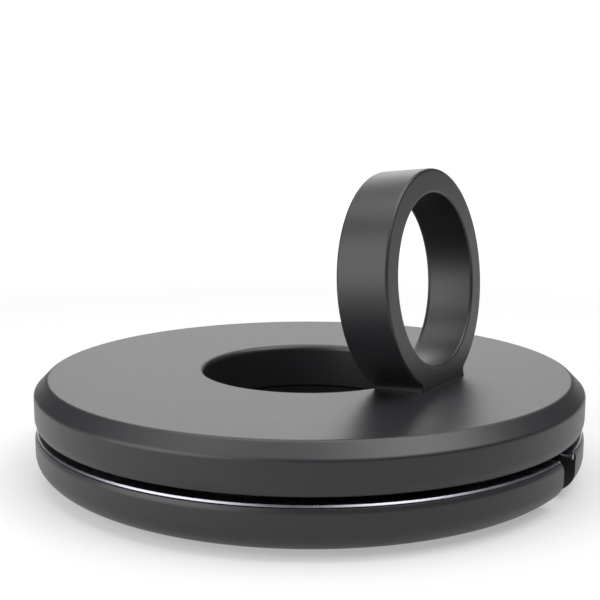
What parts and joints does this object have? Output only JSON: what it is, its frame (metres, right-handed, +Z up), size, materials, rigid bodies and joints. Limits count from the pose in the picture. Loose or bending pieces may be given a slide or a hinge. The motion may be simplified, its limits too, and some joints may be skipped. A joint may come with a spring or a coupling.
{
  "type": "smartwatch charging dock",
  "caption": "Round two-shell desk dock that hides a wound charging lead, with a leaning upright ring that holds a round magnetic charger.",
  "frame": {"origin": "on the table, under the middle of the round base", "axes": "+Z up; X = 0 is the plane of symmetry; the ring's open front and the lead's notch face -Y"},
  "size_m": [0.095, 0.095, 0.0518],
  "materials": {
    "soft_touch_black": "soft-touch satin",
    "gloss_black": "gloss",
    "polished_trim": "polished",
    "silicone": "matte",
    "plated_steel": "zinc plated"
  },
  "bodies": {
    "root": {"holder_ring": "soft_touch_black", "top_shell": "soft_touch_black", "base_shell": "soft_touch_black", "winding_hub": "gloss_black", "rim_trim": "polished_trim", "foot_pad": "silicone", "counterweight": "plated_steel", "ring_screw_left": "plated_steel", "ring_screw_right": "plated_steel", "hub_screw_1": "plated_steel", "hub_screw_2": "plated_steel", "hub_screw_3": "plated_steel", "hub_screw_4": "plated_steel"}
  },
  "joints": []
}
